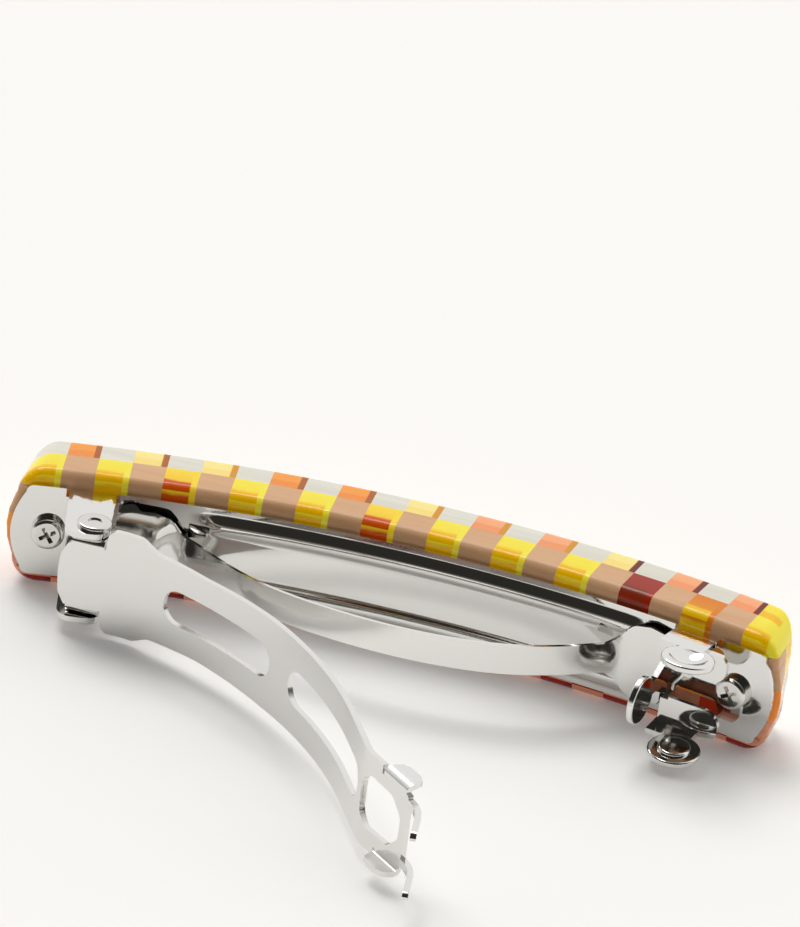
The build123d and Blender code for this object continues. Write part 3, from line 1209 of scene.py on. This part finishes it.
        def place(along: float, across: float) -> Vector:
            height = self.lance_foot + self.lance_slope * along
            return self.bow.point(station + side * (along - 1.0), height, MID_Z + self.lance_off + across)

        return Sheet("spring_lance", outline, [], 0.4).build(
            place, (spaced(0, 2.3, 0.2), [-0.3, 0.0, 0.3]), self.finish, "base", Slot.PLATE
        )


@dataclass
class TensionSpring:
    """Bowed leaf spring: shouldered foot at the hinge, long leaf, round spoon at the catch."""

    bow: Bow
    finish: bpy.types.Material
    leaf: ArcPath = ArcPath(
        (-22.6, -6.32), -41.0, ((7.9, 11.4), (7.1, 16.2), (10.0, 10.5), (9.9, 13.6), (7.1, 17.4), (9.3, 13.9))
    )
    foot_from: float = -30.6
    foot_height: float = 0.85
    spoon_to: float = 29.2
    spoon_height: float = 1.3
    thickness: float = 0.38
    half_width: float = 1.65
    foot_arch: float = 1.1
    arch_to: float = 8.0
    arch_run: float = 4.0
    foot_half: float = 4.45

    def on_bow(self, station: float, height: float) -> Point:
        """Place a plan point on the bow.

        Args:
            station: arc length along the cover's back from the middle.
            height: distance off the cover's back.

        Returns:
            X and Y in millimetres.
        """
        point = self.bow.point(station, height, 0) / MM
        return (point.x, point.y)

    def path(self) -> tuple[PointPath, float]:
        """Lay the centre line of the spring.

        Returns:
            The path, and the length at which the leaf begins.
        """
        foot = [self.on_bow(s, self.foot_height) for s in spaced(self.foot_from, -22.9, 0.25)]
        leaf = []
        for distance in spaced(0.3, self.leaf.length, 0.25):
            x, y, _ = self.leaf.at(distance)
            height = self.bow.radius - math.hypot(x, y - self.bow.centre_y)
            if distance > 25 and height < self.spoon_height:
                break
            leaf.append((x, y))
        last = leaf[-1]
        station = self.bow.radius * math.atan2(last[0], last[1] - self.bow.centre_y)
        spoon = [self.on_bow(s, self.spoon_height) for s in spaced(station + 0.25, self.spoon_to, 0.25)]
        path = PointPath(foot + leaf + spoon)
        return path, path.marks[len(foot)]

    def build(self) -> bpy.types.Object:
        """Make the spring and let it stand for the CAD spring.

        Returns:
            The finished piece.
        """
        path, start = self.path()
        end, wide = path.length, self.half_width
        side = [
            (0.3, 3.3, 0.3), (0.6, 4.2, 0.5), (2.0, 4.45, 0.5), (2.7, 3.85, 0.4), (4.2, 3.9, 0.8),
            (6.0, 3.4, 1.2), (7.2, 2.0, 0.5), (start + 0.4, wide, 0.8), (end - 6.4, wide, 1.5),
            (end - 5.0, 2.5, 1.5), (end - 3.9, 3.9, 1.5), (end - 1.9, 4.25, 1.2), (end, 3.9, 0.5),
        ]
        outline = rounded(side + [(t, -w, r) for t, w, r in reversed(side)])

        def place(along: float, across: float) -> Vector:
            x, y, heading = path.at(along)
            crown = 1 - (across / self.foot_half) ** 2
            arch = self.foot_arch * ease((self.arch_to - along) / self.arch_run) * crown
            return Vector((x + arch * math.sin(heading), y - arch * math.cos(heading), MID_Z + across)) * MM

        piece = Sheet("leaf_spring", outline, [], self.thickness, 0.07).build(
            place, (spaced(0.25, end - 0.25, 0.5), spaced(-4.2, 4.2, 0.6)), self.finish, "base", Slot.SPRING
        )
        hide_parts("tension_spring")
        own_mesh(piece)
        return piece


@dataclass
class SwingArm:
    """Curved arm of the clip: lobed base with cheeks on the rivets, two slots, latch ring and prongs."""

    finish: bpy.types.Material
    path: ArcPath = ArcPath(
        (-32.3, -16.55),
        0.0,
        ((5.7, 0), (2.4, -17), (38, -44), (6.2, 0), (1.7, 19), (6.6, 0), (3.2, -40), (3.6, 0)),
    )
    thickness: float = 0.6
    half_width: float = 5.0
    pivot: Point = (2.1, 1.6)
    cheek: tuple[float, float, float] = (0.35, 3.85, 3.35)
    cheek_out: float = 4.1
    wing: tuple[float, float, float] = (56.2, 60.2, 2.0)
    bend: float = 0.5
    ring_end: float = 60.6
    prong: tuple[float, float] = (2.85, 3.7)

    def place(self, along: float, across: float) -> Vector:
        """Press a point of the blank to the arm's curve, with its cheeks and wings folded.

        Args:
            along: place along the blank.
            across: place across it.

        Returns:
            The point in metres.
        """
        reach, side = abs(across), math.copysign(1.0, across)
        x, y, heading = self.path.at(along)
        lift = 0.0
        for first, last, _, out in ((*self.cheek, self.cheek_out), (*self.wing, self.half_width - 0.3)):
            start = out - self.bend
            if first - 0.02 <= along <= last + 0.02 and reach > start:
                arc = self.bend * math.pi / 2
                angle = min(reach - start, arc) / self.bend
                lift = self.bend * (1 - math.cos(angle)) + max(0.0, reach - start - arc)
                if along > self.wing[0] - 1:
                    lift *= side
                reach = start + self.bend * math.sin(angle)
        x -= lift * math.sin(heading)
        y += lift * math.cos(heading)
        return Vector((x, y, MID_Z + side * reach)) * MM

    def fold(self, out: float, height: float) -> float:
        """Find the place in the flat blank that comes to a height once its flange is folded.

        Args:
            out: how far out the folded flange stands.
            height: height up the flange.

        Returns:
            Distance from the blank's middle.
        """
        return out - self.bend + self.bend * math.pi / 2 + height - self.bend

    def half_outline(self) -> list[Point]:
        """Draw the upper edge of the blank from the hinge end to the tip of the prong.

        Returns:
            The points of the edge.
        """
        first, last, high = self.cheek
        top = self.fold(self.cheek_out, high)
        middle, radius = (first + last) / 2, (last - first) / 2
        line = rounded([(-0.75, 0.4, 0.0), (-0.6, 2.2, 0.9), (0.1, 3.5, 0.0)], 4)
        line += [(first - 0.05, 3.55), (first, 3.5)]
        for k in range(13):
            angle = math.radians(180 - 15 * k)
            line.append((middle + radius * math.cos(angle), top - radius + radius * math.sin(angle)))
        line += [(last, 3.5), (last + 0.2, 3.5)]
        line += rounded(
            [
                (last + 0.25, 4.6, 0.0), (4.25, 5.35, 0.4), (4.9, 5.9, 0.6), (7.9, 5.85, 1.0),
                (9.8, 4.9, 1.5), (16.3, 4.65, 4.0), (26.5, 5.0, 4.0), (45.0, 5.0, 0.0),
            ],
            5,
        )
        begin, end, rise = self.wing
        tip = self.fold(self.half_width - 0.3, rise)
        foot = self.half_width - 0.3 - self.bend - 0.1
        line += [(begin - 0.3, self.half_width), (begin - 0.3, foot), (begin, foot)]
        line += [(begin, tip - 1.2), (begin + 0.35, tip - 0.35), (begin + 1.2, tip)]
        line += [(end - 1.2, tip), (end - 0.35, tip - 0.35), (end, tip - 1.2)]
        line += [(end, foot), (end + 0.25, foot), (self.ring_end, foot - 0.25)]
        inner, outer = self.prong
        line += [(self.ring_end, outer), (self.path.length - 0.4, outer), (self.path.length, outer - 0.4)]
        line += [(self.path.length, inner + 0.3), (self.path.length - 0.3, inner), (self.ring_end, inner)]
        return line

    def build(self) -> bpy.types.Object:
        """Make the arm and let it stand for the CAD arm.

        Returns:
            The finished piece.
        """
        upper = self.half_outline()
        outline = upper + [(x, -y) for x, y in reversed(upper)]
        holes = [
            slot_loop(19.2, 15.8, 3.8),
            slot_loop(40.9, 20.6, 3.9),
            rounded([(52.6, -1.7, 1.2), (54.2, -2.9, 1.2), (58.0, -2.75, 1.2), (59.7, -1.2, 1.2),
                     (59.7, 1.2, 1.2), (58.0, 2.75, 1.2), (54.2, 2.9, 1.2), (52.6, 1.7, 1.2)]),
        ]
        level = self.fold(self.cheek_out, self.pivot[1])
        for side in (1, -1):
            holes.append([(x, side * y) for x, y in ring_loop(self.pivot[0], level, RIVET_HOLE_R, 18)])
        folds = [
            side * (out - self.bend + self.bend * math.pi / 2 * k / 4)
            for side in (1, -1)
            for out in (self.cheek_out, self.half_width - 0.3)
            for k in range(5)
        ]
        cuts = (spaced(0, self.path.length - 0.2, 0.6), sorted(folds + [0.0]))
        piece = Sheet("swinging_arm", outline, holes, self.thickness).build(
            self.place, cuts, self.finish, "arm", Slot.ARM
        )
        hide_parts("swing_arm")
        return piece


@dataclass(frozen=True)
class Studio:
    """White sweep, soft light and the camera."""

    azimuth: float = 12.12
    elevation: float = 26.566
    roll: float = 7.461
    target: tuple[float, float, float] = (-2.015, -3.6, 20.588)
    distance: float = 610.27
    lens: float = 270.0
    floor_half: float = 3000.0
    sky: tuple[float, float, float, float] = (1.0, 0.995, 0.985, 1.0)
    sky_strength: float = 0.95
    key_energy: float = 1.35
    key_spread: float = 34.0
    key_from: tuple[float, float, float] = (-0.42, 0.45, 0.9)
    floor_glow: float = 0.15
    room_shades: tuple[tuple[float, tuple[float, float, float, float]], ...] = (
        (0.0, (0.62, 0.61, 0.59, 1)),
        (0.35, (0.16, 0.155, 0.14, 1)),
        (0.8, (0.03, 0.028, 0.024, 1)),
    )

    def camera(self) -> None:
        """Place the camera at its viewing angle."""
        a, e, r = (math.radians(v) for v in (self.azimuth, self.elevation, self.roll))
        back = Vector((math.sin(a) * math.cos(e), -math.cos(a) * math.cos(e), math.sin(e)))
        right = Vector((math.cos(a), math.sin(a), 0))
        up = back.cross(right)
        tilted = right * math.cos(r) + up * math.sin(r)
        upward = up * math.cos(r) - right * math.sin(r)
        data = bpy.data.cameras.new("studio_camera")
        data.sensor_fit = "HORIZONTAL"
        data.sensor_width = 36.0
        data.lens = self.lens
        data.clip_start = 0.01
        data.clip_end = 20.0
        camera = bpy.data.objects.new("studio_camera", data)
        turn = Matrix((tilted, upward, back)).transposed().to_4x4()
        place = (Vector(self.target) + back * self.distance) * MM
        camera.matrix_world = Matrix.Translation(place) @ turn
        bpy.context.scene.collection.objects.link(camera)
        bpy.context.scene.camera = camera

    def floor(self) -> None:
        """Lay the white paper that the barrette stands on."""
        material, tree, shader = new_surface("white_paper_sweep")
        place = add_node(tree, "ShaderNodeTexCoord").outputs["Object"]
        grain = add_node(tree, "ShaderNodeTexNoise", {"Scale": 1 / (1.5 * MM)}, Vector=place)
        bump = add_node(
            tree, "ShaderNodeBump", {"Strength": 0.2, "Distance": 0.02 * MM}, Height=grain.outputs["Fac"]
        )
        tree.links.new(bump.outputs["Normal"], shader.inputs["Normal"])
        set_inputs(
            shader,
            {
                "Base Color": linear("#F7F6F4"),
                "Roughness": 0.8,
                "Specular IOR Level": 0.1,
                "Emission Color": linear("#FBFAF8"),
                "Emission Strength": self.floor_glow,
            },
        )
        bm = bmesh.new()
        bmesh.ops.create_grid(bm, x_segments=2, y_segments=2, size=self.floor_half * MM)
        bmesh.ops.translate(bm, vec=(0, 0, -0.02 * MM), verts=bm.verts)
        finish_mesh(bm, "studio_floor", [material])

    def light(self) -> None:
        """Hang the soft lights and set the pale surroundings."""
        world = bpy.data.worlds.new("white_studio")
        bpy.context.scene.world = world
        world.use_nodes = True
        tree = world.node_tree
        tree.nodes.clear()
        place = add_node(tree, "ShaderNodeTexCoord").outputs["Generated"]
        axes = add_node(tree, "ShaderNodeSeparateXYZ", Vector=place)
        # behind the object the studio is white; the camera's side is a dark room above a grey horizon
        room = add_node(
            tree, "ShaderNodeMapRange", {"From Min": 0.0, "From Max": 0.35}, Value=axes.outputs["Z"]
        )
        dark = add_ramp(tree, room.outputs["Result"], list(self.room_shades))
        back = add_node(
            tree, "ShaderNodeMapRange", {"From Min": -0.22, "From Max": 0.12}, Value=axes.outputs["Y"]
        )
        mix = add_node(
            tree, "ShaderNodeMix", {"data_type": "RGBA", MIX_SECOND: self.sky}, Factor=back.outputs["Result"]
        )
        tree.links.new(dark, mix.inputs[MIX_FIRST])
        sky = add_node(tree, "ShaderNodeBackground", {"Strength": self.sky_strength})
        tree.links.new(mix.outputs[MIX_RESULT], sky.inputs["Color"])
        add_node(tree, "ShaderNodeOutputWorld", Surface=sky.outputs["Background"])
        data = bpy.data.lights.new("key_light", "SUN")
        data.energy = self.key_energy
        data.angle = math.radians(self.key_spread)
        data.color = (1.0, 0.99, 0.975)
        lamp = bpy.data.objects.new("key_light", data)
        lamp.matrix_world = Vector(self.key_from).to_track_quat("Z", "Y").to_matrix().to_4x4()
        bpy.context.scene.collection.objects.link(lamp)
        view = bpy.context.scene.view_settings
        view.view_transform = "Standard"
        view.exposure = 0.0


def dress(node: bpy.types.Object, material: bpy.types.Material) -> None:
    """Give a CAD node a material in all its slots.

    Args:
        node: the CAD node's object.
        material: the finish.
    """
    if not node.material_slots:
        node.data.materials.append(material)
    for place in node.material_slots:
        place.material = material


def main() -> None:
    """Build the studio and every visible piece."""
    logging.basicConfig(level=logging.INFO, format="%(name)s: %(message)s")
    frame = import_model()
    studio = Studio()
    studio.camera()
    studio.floor()
    studio.light()
    bow = Bow()
    AcetateCover(bow, TilePattern()).build()
    PressedPlate(bow, NickelPlate("bright_nickel_plate").build()).build()
    TensionSpring(bow, NickelPlate("polished_spring_strip").build()).build()
    SwingArm(NickelPlate("bright_nickel_arm", roughness=0.14).build()).build()
    finishes = {
        "latch_wall": NickelPlate("bright_nickel_latch"),
        "mounting_screws": NickelPlate("nickel_plated_screws", colour="#DAD8D4"),
        "hinge_rivets": NickelPlate("nickel_plated_rivets", colour="#DAD8D4", roughness=0.15),
        "upper_catch_lug": NickelPlate("bright_nickel_upper_lug"),
        "lower_catch_lug": NickelPlate("bright_nickel_lower_lug"),
    }
    for name, finish in finishes.items():
        dress(frame["nodes"][name], finish.build())
        LOG.info("dressed %s", name)


if __name__ == "__main__":
    main()
